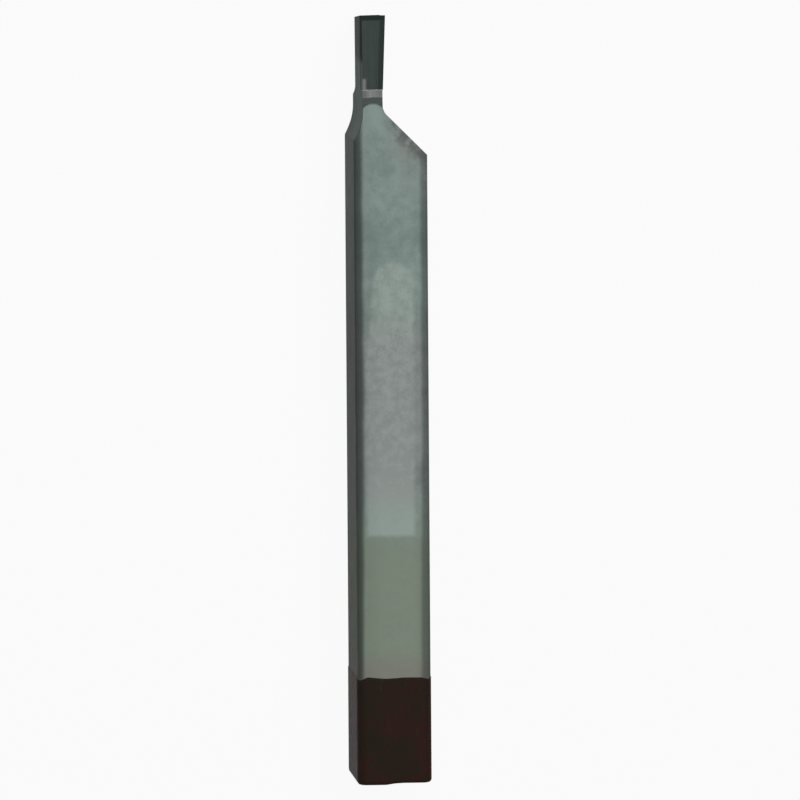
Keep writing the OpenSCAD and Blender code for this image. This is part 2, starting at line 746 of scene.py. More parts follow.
@dataclass(frozen=True)
class PaleField:
    """The bare field on top, which is round towards the tip and wider towards the back."""

    pale: Colour = (0.292, 0.350, 0.322)
    soiled: Colour = (0.222, 0.273, 0.248)
    dome_middle: Span = (19.0, -0.2)
    dome_radius: float = 3.5
    back: float = -22.4
    spread: float = 0.6
    spread_over: float = 14.0
    fray: float = 0.3
    border: Span = (-0.35, 0.75)
    skin: Span = (0.3, 0.1)
    clean_parts: Parts = (0.55, 0.2)
    clean: Span = (-0.05, 0.22)
    clean_from: float = 4.0
    clean_back: float = 0.9

    def mask(self, spot: ShankSpot) -> Wire:
        """Give the field's shape.

        Args:
            spot: The spot's place and noise.

        Returns:
            1 inside the field.
        """
        dome_x, dome_y = self.dome_middle
        spread = spot.x.rise((dome_x, dome_x - self.spread_over), high=self.spread)
        ahead = (spot.x - dome_x).most(0.0)
        aside = spot.y - dome_y - spread
        inside = spread + self.dome_radius - (ahead * ahead + aside * aside).root()
        field = inside.least(spot.x - self.back) + spot.ragged * self.fray
        return field.rise(self.border) * spot.depth.rise(self.skin)

    def colour(self, spot: ShankSpot) -> Wire:
        """Give the field's colour, which is cleaner towards the back.

        Args:
            spot: The spot's place and noise.

        Returns:
            The colour.
        """
        rubbed = weigh(self.clean_parts, spot.ragged, spot.specks).rise(self.clean)
        clean = rubbed.most(spot.x.rise((self.clean_from, self.back), high=self.clean_back))
        return spot.kit.mix(clean, self.soiled, self.pale)


@dataclass(frozen=True)
class Enamel(Tints):
    """Grey-green enamel with the pale field, dull at mid length and olive towards the back."""

    field: PaleField = PaleField()
    pale: Colour = (0.236, 0.294, 0.272)
    deep: Colour = (0.166, 0.217, 0.199)
    olive: Colour = (0.200, 0.243, 0.183)
    bleed: Colour = (0.210, 0.192, 0.172)
    tone_parts: Parts = (0.45, 0.36, 0.15)
    tone: Span = (0.16, 0.44)
    dull_front: Span = (17.0, 8.0)
    dull_back: Span = (-21.0, -12.0)
    dull_saturation: float = 0.5
    dull_value: float = 0.9
    olive_over: Span = (-14.0, -27.0)
    olive_part: float = 0.85
    thin_patches: Span = (0.46, 0.68)
    thin_part: float = 0.25
    bleed_over: Span = (-39.8, -44.6)
    bleed_part: float = 0.6

    def coat(self, spot: ShankSpot) -> Wire:
        """Give the enamel's colour before wear.

        Args:
            spot: The spot's place and noise.

        Returns:
            The colour.
        """
        tone = weigh(self.tone_parts, spot.clouds, spot.ragged, spot.specks).rise(self.tone)
        field = self.field.mask(spot)
        paint = spot.kit.mix(tone, self.deep, self.pale)
        paint = spot.kit.mix(field, paint, self.field.colour(spot))
        return self.tint(paint, field, spot)

    def tint(self, paint: Wire, field: Wire, spot: ShankSpot) -> Wire:
        """Change the colour along the shank.

        Args:
            paint: The enamel's colour with its field.
            field: 1 inside the field.
            spot: The spot's place and noise.

        Returns:
            The changed colour.
        """
        kit = spot.kit
        dulled = {
            "Saturation": self.dull_saturation,
            "Value": self.dull_value,
            "Fac": spot.x.rise(self.dull_front) * spot.x.rise(self.dull_back),
            "Color": paint,
        }
        paint = kit.add("ShaderNodeHueSaturation", None, dulled)
        rear = spot.x.rise(self.olive_over)
        paint = kit.mix(rear * (1 - field) * self.olive_part, paint, self.olive)
        patches = spot.patches.rise(self.thin_patches, high=self.thin_part)
        paint = kit.mix(rear * patches, paint, self.thin)
        return kit.mix((spot.x + spot.ragged).rise(self.bleed_over, high=self.bleed_part), paint, self.bleed)


@dataclass(frozen=True)
class SideWear(WearAndShade):
    """Paint that is thin and scratched on the shank's sides."""

    below: Span = (1.0, 2.5)
    fade: float = 6.0
    patches: Span = (0.38, 0.62)
    thin_levels: Span = (0.3, 0.8)
    scratches: Span = (0.50, 0.75)
    scratch_part: float = 0.22

    def over(self, paint: Wire, spot: ShankSpot) -> Wire:
        """Lay it over the paint.

        Args:
            paint: The colour below.
            spot: The spot's place and noise.

        Returns:
            The colour with the thin places and scratches.
        """
        start = spot.head.shoulder_corner.x
        here = spot.depth.rise(self.below) * spot.x.rise((start, start - self.fade))
        paint = spot.kit.mix(here * spot.patches.rise(self.patches, *self.thin_levels), paint, self.thin)
        scratches = spot.scratches.rise(self.scratches, high=self.scratch_part)
        return spot.kit.mix(here * scratches, paint, self.oxide_and_shade)


@dataclass(frozen=True)
class EdgeGrimeAndShade(WearAndShade):
    """Grime and painted shade along the shank's long edges, heaviest on the left, with a faint painted shade
    beside the left edge and a faint darkening by the right one towards the back.
    """

    left: Span = (0.0, 3.0)
    left_shade: Span = (1.5, 4.6)
    right_shade: Span = (-3.0, -4.6)
    right_over: Span = (-15.0, -30.0)
    shade_part: float = 0.1
    band: Span = (1.7, 0.85)
    waver: float = 0.5
    slant: float = 0.3
    slant_over: Span = (0.0, -46.0)
    grime_and_shade_levels: Span = (0.55, 0.73)

    def over(self, paint: Wire, spot: ShankSpot) -> Wire:
        """Lay it over the paint.

        Args:
            paint: The colour below.
            spot: The spot's place and noise.

        Returns:
            The colour with the painted shade and the grime.
        """
        x, y, mix = spot.x, spot.y, spot.kit.mix
        # painted shade beside the left edge, and a plain darkening beside the right edge towards the back
        shade = y.rise(self.left_shade).most(y.rise(self.right_shade) * x.rise(self.right_over))
        paint = mix(shade * self.shade_part, paint, self.oxide_and_shade)
        slant = x.rise(self.slant_over) * y.rise(self.left, -self.slant, self.slant)
        # grime and painted shade along the long edges, heavier on the left, where the shade falls
        grime_and_shade = (spot.from_edge + spot.clouds.swing(self.waver) + slant).rise(self.band)
        return mix(grime_and_shade * y.rise(self.left, *self.grime_and_shade_levels), paint, self.oxide_and_shade)


@dataclass(frozen=True)
class ShoulderWear(WearAndShade):
    """Paint that is rubbed thin behind the shoulder and scuffed along its edge."""

    rub_band: Span = (7.5, 0.0)
    rub_across: Span = (1.5, -1.0)
    rub_patches: Span = (0.40, 0.60)
    rub_levels: Span = (0.2, 0.7)
    scuff_band: Span = (2.4, 0.8)
    scuff_across: Span = (0.5, -1.0)
    scuff_depth: Span = (3.5, 0.8)
    scuff_patches: Span = (0.44, 0.58)
    scuff_levels: Span = (0.12, 0.52)

    def over(self, paint: Wire, spot: ShankSpot) -> Wire:
        """Lay it over the paint.

        Args:
            paint: The colour below.
            spot: The spot's place and noise.

        Returns:
            The colour with the rubbed and scuffed places.
        """
        rubbed = spot.from_shoulder.rise(self.rub_band) * spot.y.rise(self.rub_across)
        rubbed = rubbed * spot.patches.rise(self.rub_patches, *self.rub_levels)
        paint = spot.kit.mix(rubbed, paint, self.thin)
        near = (abs(spot.from_shoulder) + spot.ragged).rise(self.scuff_band)
        beside = (spot.y - spot.head.shoulder_corner.y).rise(self.scuff_across)
        scuffed = near * beside * spot.depth.rise(self.scuff_depth)
        scuffed = scuffed * spot.patches.rise(self.scuff_patches, *self.scuff_levels)
        return spot.kit.mix(scuffed, paint, self.oxide_and_shade)


@dataclass(frozen=True)
class DarkArch(WearAndShade):
    """A dark arch on the paint behind the tip."""

    width: float = 1.25
    arch: float = 0.7
    bow_most: float = 1.3
    fray: float = 0.4
    fade: float = 0.4
    sides: Span = (1.5, 1.2)
    dark_part: float = 0.82

    def over(self, paint: Wire, spot: ShankSpot) -> Wire:
        """Lay it over the paint.

        Args:
            paint: The colour below.
            spot: The spot's place and noise.

        Returns:
            The colour with the dark arch.
        """
        head = spot.head
        across = (spot.y - head.middle) * (1 / head.blade_half)
        bow = (across * across).least(self.bow_most) * self.arch
        start = head.land_back - self.width
        arch = (spot.x + bow + spot.ragged * self.fray).rise((start, start + self.fade))
        # the arch darkens the top behind the ground flat
        burnt = arch * abs(across).rise(self.sides) * spot.top
        return spot.kit.mix(burnt * self.dark_part, paint, self.oxide_and_shade)


@dataclass(frozen=True)
class BareSteel(Tints):
    """Ground steel round the tip, where there is no paint."""

    steel: Colour = (0.088, 0.092, 0.090)
    painted_highlight: Colour = (0.190, 0.192, 0.188)
    ground: Colour = (0.086, 0.094, 0.090)
    land_fray: float = 0.5
    land_border: Span = (-0.15, 0.1)
    side_fray: float = 2.0
    side_border: Span = (-0.9, 0.9)
    highlight_reach: float = 0.8
    highlight_part: float = 0.42
    ground_part: float = 0.85
    lines: Span = (0.32, 0.66)
    line_part: float = 0.4

    def land(self, spot: ShankSpot) -> Wire:
        """Give 1 on the flat that is ground behind the tip."""
        ahead = spot.x - spot.head.land_back + spot.ragged * self.land_fray
        return ahead.rise(self.land_border) * spot.top

    def sides(self, spot: ShankSpot) -> Wire:
        """Give 1 on the blade's front and on its sides as far as the paint."""
        ahead = spot.x - spot.head.paint_end + spot.ragged * self.side_fray
        return ahead.rise(self.side_border) * (1 - spot.top)

    def metal(self, spot: ShankSpot, sides: Wire) -> Wire:
        """Give the steel's colour, with a painted highlight along the middle of the flat.

        Args:
            spot: The spot's place and noise.
            sides: 1 on the ground sides.

        Returns:
            The colour.
        """
        kit = spot.kit
        glint = (spot.head.blade_half * self.highlight_reach, 0.0)
        # painted highlight: brighter steel along the middle of the flat
        bright = abs(spot.y - spot.head.middle).rise(glint, high=self.highlight_part)
        metal = kit.mix(bright, self.steel, self.painted_highlight)
        metal = kit.mix(sides * self.ground_part, metal, self.ground)
        return kit.mix(spot.lines.rise(self.lines, high=self.line_part), metal, self.oxide_and_shade)


@dataclass(frozen=True)
class ShankPaint:
    """The shank's finish: enamel with its wear and painted shade, and bare steel round the tip and along worn
    edges, with a painted highlight on the flat.
    """

    head: Head
    enamel: Enamel = Enamel()
    wear_and_shade: tuple[WearAndShade, ...] = (SideWear(), EdgeGrimeAndShade(), ShoulderWear(), DarkArch())
    bare: BareSteel = BareSteel()
    worn_waver: float = 2.2
    worn_band: Span = (0.35, 0.1)
    worn_part: float = 0.4
    roughness: float = 0.76
    roughness_swing: float = 0.25
    land_polish: float = 0.2
    hammer_parts: Parts = (0.5, 0.3)
    paint_height: float = 0.3
    line_height: float = 0.3
    metal_parts: Parts = (0.9, 0.05, 0.5)
    relief_depth: float = 0.06
    specular: float = 0.06

    def make(self) -> bpy.types.Material:
        """Build the finish.

        Returns:
            The material.
        """
        kit = NodeKit.material("shank_paint")
        spot = ShankSpot(kit, self.head)
        paint = self.enamel.coat(spot)
        for wear_and_shade in self.wear_and_shade:
            paint = wear_and_shade.over(paint, spot)
        land, sides = self.bare.land(spot), self.bare.sides(spot)
        worn = (spot.from_edge + spot.mottle.swing(self.worn_waver)).rise(self.worn_band, high=self.worn_part)
        show = (land + sides).most(worn)
        colour = kit.mix(show, paint, self.bare.metal(spot, sides))
        rough = self.roughness + spot.mottle.swing(self.roughness_swing) - land * self.land_polish
        hammered = weigh(self.hammer_parts, spot.hammer, spot.specks) + self.paint_height
        relief = hammered * (1 - show) + spot.lines * show * self.line_height
        metallic = weigh(self.metal_parts, land, sides, worn)
        return kit.close(colour, rough, metallic, relief, self.relief_depth, self.specular)


@dataclass(frozen=True)
class DipEnamel:
    """Dark maroon-brown enamel that the back end is dipped in."""

    dark: Colour = (0.0145, 0.0108, 0.0072)
    maroon: Colour = (0.0255, 0.0098, 0.0075)
    rubbed: Colour = (0.034, 0.0280, 0.0250)
    clouds: Grain = Grain(0.16)
    mottle: Grain = Grain(0.7, 4.0, 0.6)
    specks: Grain = Grain(3.0)
    runs: Grain = Grain(1.0, 3.0, stretch=(0.25, 1.6, 1.6))
    tone_parts: Parts = (0.6, 0.4)
    tone: Span = (0.38, 0.66)
    rub_parts: Parts = (0.6, 0.4)
    rub: Span = (0.58, 0.72)
    rub_most: float = 0.5
    roughness: float = 0.58
    roughness_swing: float = 0.3
    relief_parts: Parts = (0.5, 0.3, 0.2)
    relief_depth: float = 0.05
    specular: float = 0.04

    def make(self) -> bpy.types.Material:
        """Build the finish.

        Returns:
            The material.
        """
        kit = NodeKit.material("dip_enamel")
        clouds, mottle = kit.grain(self.clouds), kit.grain(self.mottle)
        specks, runs = kit.grain(self.specks), kit.grain(self.runs)
        colour = kit.mix(weigh(self.tone_parts, clouds, mottle).rise(self.tone), self.dark, self.maroon)
        rubbed = weigh(self.rub_parts, runs, specks).rise(self.rub, high=self.rub_most)
        colour = kit.mix(rubbed, colour, self.rubbed)
        rough = self.roughness + mottle.swing(self.roughness_swing)
        relief = weigh(self.relief_parts, runs, mottle, specks)
        return kit.close(colour, rough, 0.0, relief, self.relief_depth, self.specular)


@dataclass(frozen=True)
class GroundCarbide:
    """Dark ground carbide, darker along its front and right edges, with painted shade on its sides and braze
    metal smeared over one corner.
    """

    head: Head
    dark: Colour = (0.0315, 0.041, 0.0375)
    bright: Colour = (0.052, 0.064, 0.059)
    darkened: Colour = (0.013, 0.017, 0.0155)
    smear: Colour = (0.105, 0.110, 0.105)
    overspray: Colour = (0.222, 0.279, 0.257)
    mottle: Grain = Grain(0.8, 3.0, 0.6)
    fine: Grain = Grain(9.0)
    lines: Grain = Grain(1.0, 4.0, 0.7, (0.12, 3.4, 3.4), 3.0)
    ragged: float = 1.2
    tone_parts: Parts = (0.6, 0.4)
    tone: Span = (0.4, 0.75)
    tone_most: float = 0.7
    side_border: Span = (0.02, 0.1)
    front_band: Span = (0.95, 0.65)
    front_fray: float = 0.2
    front_part: float = 0.95
    right_band: Span = (1.3, 0.5)
    right_fray: float = 0.3
    right_part: float = 0.7
    side_part: float = 0.15
    smear_width: Span = (0.75, 0.45)
    smear_width_fray: float = 0.3
    smear_length: Span = (2.0, 1.4)
    smear_length_fray: float = 0.6
    smear_part: float = 0.85
    spray_border: Span = (0.9, -0.9)
    spray_fray: float = 2.0
    spray_part: float = 0.9
    roughness: float = 0.52
    roughness_swing: float = 0.2
    side_roughness: float = 0.3
    metallic: float = 0.3
    smear_metallic: float = 0.3
    side_dulling: float = 0.9
    relief_parts: Parts = (0.7, 0.3)
    relief_depth: float = 0.02
    specular: float = 0.01

    def edge_darkening(self, x: Wire, y: Wire, ragged: Wire, side: Wire) -> Wire:
        """Give how far the carbide is darkened along its front and, on top, along its right edge.

        Args:
            x: Place along the tool.
            y: Place across it.
            ragged: Noise about 0 that frays the borders.
            side: 1 below the rake face.

        Returns:
            The part of the darker colour.
        """
        from_front = self.head.front - x
        from_right = y - self.head.tip_low.y - from_front * math.tan(math.radians(self.head.right_taper))
        front = (from_front + ragged * self.front_fray).rise(self.front_band, high=self.front_part)
        right = (from_right + ragged * self.right_fray).rise(self.right_band, high=self.right_part)
        return front.most(right * (1 - side))

    def smeared(self, x: Wire, y: Wire, ragged: Wire) -> Wire:
        """Give 1 where braze metal is smeared over the left corner at the tip's back.

        Args:
            x: Place along the tool.
            y: Place across it.
            ragged: Noise about 0 that frays the borders.

        Returns:
            The smear's mask.
        """
        beside = self.head.tip_high.y - y + ragged * self.smear_width_fray
        ahead = x - self.head.tip_low.x + ragged * self.smear_length_fray
        return beside.rise(self.smear_width) * ahead.rise(self.smear_length)

    def make(self) -> bpy.types.Material:
        """Build the finish.

        Returns:
            The material.
        """
        kit = NodeKit.material("ground_carbide")
        x, y, z = kit.axes()
        mottle, fine, lines = kit.grain(self.mottle), kit.grain(self.fine), kit.grain(self.lines)
        ragged = mottle.swing(self.ragged)
        side = (self.head.rake - z).rise(self.side_border)
        smeared = self.smeared(x, y, ragged)
        sprayed = (x - self.head.paint_end + ragged * self.spray_fray).rise(self.spray_border) * side

        tone = weigh(self.tone_parts, lines, fine).rise(self.tone, high=self.tone_most)
        colour = kit.mix(tone, self.dark, self.bright)
        # darker along the front and, on top, along the right edge
        colour = kit.mix(self.edge_darkening(x, y, ragged, side), colour, self.darkened)
        colour = kit.mix(smeared * self.smear_part, colour, self.smear)
        # painted shade: the sides below the rake face are darkened
        colour = kit.mix(side * self.side_part, colour, self.darkened)
        colour = kit.mix(sprayed * self.spray_part, colour, self.overspray)

        rough = self.roughness + mottle.swing(self.roughness_swing) + side * self.side_roughness
        metallic = (self.metallic + smeared * self.smear_metallic) * (1 - side * self.side_dulling)
        relief = weigh(self.relief_parts, lines, fine)
        return kit.close(colour, rough, metallic, relief, self.relief_depth, self.specular)


@dataclass(frozen=True)
class BrazeMetal:
    """Pale braze metal, ground bright on top and burnt dark along the sides."""

    head: Head
    bright: Colour = (0.118, 0.117, 0.108)
    tarnish: Colour = (0.085, 0.084, 0.077)
    burnt: Colour = (0.056, 0.049, 0.037)
    mottle: Grain = Grain(1.6, 4.0, 0.6)
    fine: Grain = Grain(8.0)
    tarnished: Span = (0.4, 0.7)
    side_border: Span = (0.02, 0.15)
    burn: Span = (0.25, 0.5)
    burn_levels: Span = (0.5, 0.9)
    roughness: float = 0.45
    roughness_swing: float = 0.3
    side_roughness: float = 0.25
    metallic: float = 0.9
    side_dulling: float = 0.7
    relief_parts: Parts = (0.4, 0.6)
    relief_depth: float = 0.03
    specular: float = 0.1

    def make(self) -> bpy.types.Material:
        """Build the finish.

        Returns:
            The material.
        """
        kit = NodeKit.material("braze_metal")
        mottle, fine = kit.grain(self.mottle), kit.grain(self.fine)
        side = (self.head.rake - kit.axes()[Axis.Z]).rise(self.side_border)
        colour = kit.mix(mottle.rise(self.tarnished), self.bright, self.tarnish)
        colour = kit.mix(side * mottle.rise(self.burn, *self.burn_levels), colour, self.burnt)
        rough = self.roughness + fine.swing(self.roughness_swing) + side * self.side_roughness
        metallic = self.metallic - side * self.side_dulling
        relief = weigh(self.relief_parts, fine, mottle)
        return kit.close(colour, rough, metallic, relief, self.relief_depth, self.specular)


@dataclass
class Piece(ABC):
    """A visible piece of the tool."""

    bench: Bench
    head: Head

    @abstractmethod
    def model(self) -> bpy.types.Object:
        """Shape the piece in millimetres, at its place."""

    @abstractmethod
    def dress(self, piece: bpy.types.Object) -> None:
        """Give the piece its finish and its body."""

    def build(self) -> bpy.types.Object:
        """Model and dress the piece.

        Returns:
            The finished piece, in metres.
        """
        piece = self.model()
        self.bench.to_metres(piece)
        self.dress(piece)
        return piece

    def record(
        self, piece: bpy.types.Object, material: bpy.types.Material, slot: Slot, *solids: Solid
    ) -> None:
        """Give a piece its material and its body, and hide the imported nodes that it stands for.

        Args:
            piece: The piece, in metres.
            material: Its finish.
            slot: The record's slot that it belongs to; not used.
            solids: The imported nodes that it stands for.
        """
        piece.data.materials.clear()
        piece.data.materials.append(material)
        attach(piece, BODY)
        if solids:
            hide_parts(*(solid.value for solid in solids))


@dataclass
class Shank(Piece):
    """The steel bar with its blade, shoulder and seat."""

    edge_radius: float = 1.5
    edge_steps: int = 8
    end_round: float = 0.6
    end_steps: int = 3
    root_radius: float = 2.0
    root_steps: int = 12
    relief_runout: float = 9.0
    grind_overrun: float = 0.4
    grind_runout: float = 3.0
    rake_runout: float = 3.0
    wheel_steps: int = 24
    softened: float = 0.2
    soft_steps: int = 3
    soft_above: float = 35.0
    seat_margin: float = 0.01
    over: float = 20.0

    def blank(self, name: str, front: float, grown: float = 0.0) -> bpy.types.Object:
        """Model the bar with its long edges and its back end rounded.

        Args:
            name: Name of the piece.
            front: Where it ends in front.
            grown: How far it is larger than the bar on its other sides.

        Returns:
            The bar, in millimetres.
        """
        head = self.head
        low = Vector((head.back - grown, -head.width / 2 - grown, -grown))
        high = Vector((front, head.width / 2 + grown, head.height + grown))
        bar = self.bench.block(name, low, high)
        self.bench.bevel(bar, along(Axis.X), self.edge_radius + grown, self.edge_steps)
        self.bench.bevel(bar, lying_at(Axis.X, low.x), self.end_round, self.end_steps)
        return bar

    def shoulder_cutter(self) -> bpy.types.Object:
        """Model what is milled away beside the blade.

        Returns:
            The cutter, in place.
        """
        head = self.head
        turn = math.radians(head.shoulder_angle)
        tall = 2 * head.height
        low = Vector((-head.blade_length - 2 * self.over, 0, -tall))
        cutter = self.bench.block("shoulder_cutter", low, Vector((self.over, self.over, tall)))
        root = Vector((-head.blade_length, 0, 0))
        self.bench.bisect(cutter, root, Vector((-math.sin(turn), -math.cos(turn), 0)))
        tangent = self.root_radius * math.tan(turn / 2)
        self.bench.bevel(cutter, through(Axis.Z, root), tangent, self.root_steps)
        self.bench.place(cutter, head.on_side(Side.RIGHT, head.blade_half))
        return cutter

    def wheel_pass(self, name: str, low: Vector, high: Vector, axis: Axis, runout: float) -> bpy.types.Object:
        """Model a straight pass of a grinding wheel, which lifts off along an arc at the back.

        Args:
            name: Name of the cutter.
            low: Its lowest corner.
            high: Its highest corner.
            axis: The axis that the wheel turns about.
            runout: Radius of the arc.

        Returns:
            The cutter.
        """
        cutter = self.bench.block(name, low, high)
        self.bench.bevel(cutter, through(axis, low), runout, self.wheel_steps)
        return cutter

    def side_cutter(self, name: str, place: Matrix, run: float, runout: float) -> bpy.types.Object:
        """Model a pass along one side of the blade.

        Args:
            name: Name of the cutter.
            place: The side's place.
            run: Length of the pass behind the cutting edge.
            runout: Radius that the wheel leaves at its back end.

        Returns:
            The cutter, in place.
        """
        tall = 2 * self.head.height
        low = Vector((-run - runout, 0, -tall))
        cutter = self.wheel_pass(name, low, Vector((self.over, self.over, tall)), Axis.Z, runout)
        self.bench.place(cutter, place)
        return cutter

    def side_cutters(self) -> Iterator[bpy.types.Object]:
        """Model what is cut away along the blade's sides: the relief on the left, then both ground sides.

        Yields:
            The cutters, in place.
        """
        head = self.head
        left = head.on_side(Side.LEFT, head.blade_half)
        yield self.side_cutter("relief_cutter", left, head.blade_length, self.relief_runout)
        run = head.tip_length + self.grind_overrun
        for side in Side:
            yield self.side_cutter(f"{side.name}_grind", head.ground(side), run, self.grind_runout)

    def top_cutters(self) -> Iterator[bpy.types.Object]:
        """Model what is taken off the top: the ground rake face, then the seat of the tip and its braze.

        Yields:
            The cutters, in place.
        """
        head = self.head
        low = Vector((head.land_back - self.rake_runout, -self.over, head.rake))
        high = Vector((head.front + self.over, self.over, head.height + self.over))
        yield self.wheel_pass("rake_cutter", low, high, Axis.Y, self.rake_runout)
        yield self.bench.block("seat_cutter", Vector((head.seat_low.x, -self.over, head.seat_low.z)), high)

    def outer_edge(self, edge: bmesh.types.BMEdge) -> bool:
        """Say whether an edge is sharp, stands out and lies clear of the seat.

        Args:
            edge: The edge.

        Returns:
            True for an edge that is softened.
        """
        middle = (edge.verts[0].co + edge.verts[1].co) / 2
        seat = self.head.seat_low
        clear = middle.x < seat.x - self.seat_margin or middle.z < seat.z - self.seat_margin
        return clear and edge.is_convex and bends(edge, self.soft_above)

    def model(self) -> bpy.types.Object:
        """Shape the shank.

        Returns:
            The piece, in millimetres.
        """
        head = self.head
        bar = self.blank("shank_steel", head.front + self.over)
        self.bench.carve(bar, self.shoulder_cutter())
        for cutters in (self.side_cutters(), self.top_cutters()):
            for cutter in cutters:
                self.bench.carve(bar, cutter)
        head.trim_front(self.bench, bar, head.toe, head.front_clearance)
        self.bench.bevel(bar, self.outer_edge, self.softened, self.soft_steps)
        return bar

    def dress(self, piece: bpy.types.Object) -> None:
        """Paint the shank."""
        self.record(piece, ShankPaint(self.head).make(), Slot.PAINT, Solid.SHANK)


@dataclass
class CarbideTip(Piece):
    """The ground carbide tip."""

    heel_chamfer: float = 0.6
    honed: float = 0.04
    hone_steps: int = 2
    hone_above: float = 30.0

    def blank(self, name: str, wider: float = 0.0) -> bpy.types.Object:
        """Model the tip's block with its front clearance and heel.

        Args:
            name: Name of the block.
            wider: How far it is widened on each side.

        Returns:
            The block, in millimetres.
        """
        head = self.head
        spread = Vector((0, wider, 0))
        tip = self.bench.block(name, head.tip_low - spread, head.tip_high + spread)
        edge = Vector((head.front, 0, head.rake))
        head.trim_front(self.bench, tip, edge, head.tip_front_clearance)
        self.bench.bevel(tip, through(Axis.Y, head.tip_low), self.heel_chamfer, 1)
        return tip

    def model(self) -> bpy.types.Object:
        """Shape the tip.

        Returns:
            The piece, in millimetres.
        """
        tip = self.blank("tip_carbide")
        self.head.trim_sides(self.bench, tip)
        self.bench.bevel(tip, lambda edge: bends(edge, self.hone_above), self.honed, self.hone_steps)
        return tip

    def dress(self, piece: bpy.types.Object) -> None:
        """Give the tip its ground finish."""
        self.record(piece, GroundCarbide(self.head).make(), Slot.CARBIDE, Solid.TIP)


@dataclass
class BrazeFilm(Piece):
    """The braze metal in the seat, squeezed out into a fine bead along the seams."""

    tip: CarbideTip
    proud: float = 0.07
    bead_steps: int = 3
    bead_above: float = 30.0
    rake_margin: float = 0.01

    def bead_edge(self, edge: bmesh.types.BMEdge) -> bool:
        """Say whether an edge bounds one of the bead's outer faces, below the ground rake face.

        Args:
            edge: The edge.

        Returns:
            True for an edge that is rounded.
        """
        outwards = any(abs(face.normal.y) > FACING for face in edge.link_faces)
        below = min(vert.co.z for vert in edge.verts) < self.head.rake - self.rake_margin
        return outwards and below and bends(edge, self.bead_above)

    def model(self) -> bpy.types.Object:
        """Shape the film.

        Returns:
            The piece, in millimetres.
        """
        head = self.head
        spread = Vector((0, self.proud, 0))
        film = self.bench.block("braze_film", head.seat_low - spread, head.seat_high + spread)
        self.bench.carve(film, self.tip.blank("tip_space", head.blade_half))
        head.trim_front(self.bench, film, head.toe, head.front_clearance)
        head.trim_sides(self.bench, film, self.proud)
        self.bench.bevel(film, self.bead_edge, self.proud, self.bead_steps)
        return film

    def dress(self, piece: bpy.types.Object) -> None:
        """Give the film its metal."""
        self.record(piece, BrazeMetal(self.head).make(), Slot.BRAZE, Solid.BRAZE)


@dataclass
class EndDip(Piece):
    """The coat of dark enamel round the back end, with an uneven lip."""

    bar: Shank
    length: float = 17.2
    film: float = 0.08
    bedding: float = 0.04
    lip_rings: tuple[float, ...] = (0.15, 0.4, 0.9, 1.8, 4.0)
    lip_reach: float = 4.0
    lip_sag: float = 0.6
    lip_thinning: float = 0.8
    corner_reach: float = 1.6
    wobble: float = 0.35
    wobble_scale: float = 0.28
    drip: float = 0.28
    drip_from: float = -0.3
    drip_fade: float = 1.2
    lines_across: int = 3
    gap_across: float = 1.4
    lines_up: int = 5
    gap_up: float = 1.5

    @property
    def lip(self) -> float:
        """Give the place of the coat's front edge."""
        return self.head.back + self.length

    def edge_loops(self) -> Iterator[tuple[Axis, float]]:
        """Give the edge loops that the lip is shaped by: rings near it, then lines along the coat.

        Yields:
            The axis that each loop lies across, and its place.
        """
        for step in self.lip_rings:
            yield Axis.X, self.lip - step
        for step in range(-self.lines_across, self.lines_across + 1):
            yield Axis.Y, step * self.gap_across
        for step in range(-self.lines_up, self.lines_up + 1):
            yield Axis.Z, self.head.height / 2 + step * self.gap_up

    def shape_lip(self, skin: bpy.types.Object) -> None:
        """Draw the lip back along the edges, make it waver and thin it out.

        Args:
            skin: The coat's outer skin.
        """
        half_width, half_height = self.head.width / 2, self.head.height / 2
        with self.bench.editing(skin, Pick.POINTS) as mesh:
            mesh.normal_update()
            for vert in mesh.verts:
                behind = self.lip - vert.co.x
                near = max(0.0, 1 - behind / self.lip_reach)
                if near == 0.0:
                    continue
                edge = max(half_width - abs(vert.co.y), half_height - abs(vert.co.z - half_height), 0.0)
                corner = max(0.0, 1 - edge / self.corner_reach)
                waver = noise.noise(Vector((0.0, vert.co.y, vert.co.z)) * self.wobble_scale)
                if behind < TOUCH:
                    vert.co -= vert.normal * self.film * self.lip_thinning
                vert.co.x += near * (waver * self.wobble - corner * self.lip_sag)
            bmesh.update_edit_mesh(skin.data)

    def gather_drip(self, skin: bpy.types.Object) -> None:
        """Let the enamel gather past the back end, on its left half.

        Args:
            skin: The coat's outer skin.
        """
        end = self.head.back - self.film
        reach = 2 * self.bar.end_round
        with self.bench.editing(skin, Pick.POINTS) as mesh:
            for vert in mesh.verts:
                near = max(0.0, 1 - (vert.co.x - end) / reach)
                left = min(1.0, max(0.0, (vert.co.y - self.drip_from) / self.drip_fade))
                vert.co.x -= self.drip * near * left
            bmesh.update_edit_mesh(skin.data)

    def model(self) -> bpy.types.Object:
        """Shape the coat.

        Returns:
            The piece, in millimetres.
        """
        skin = self.bar.blank("end_dip", self.lip, self.film)
        self.bench.drop_faces(skin, lambda face: face.normal.x > FACING)
        for axis, place in self.edge_loops():
            self.bench.score(skin, axis, place)
        self.shape_lip(skin)
        self.gather_drip(skin)
        self.bench.modify(skin, Modifier.WALL, thickness=self.film + self.bedding, offset=-1.0)
        return skin

    def dress(self, piece: bpy.types.Object) -> None:
        """Give the coat its enamel."""
        self.record(piece, DipEnamel().make(), Slot.PAINT)


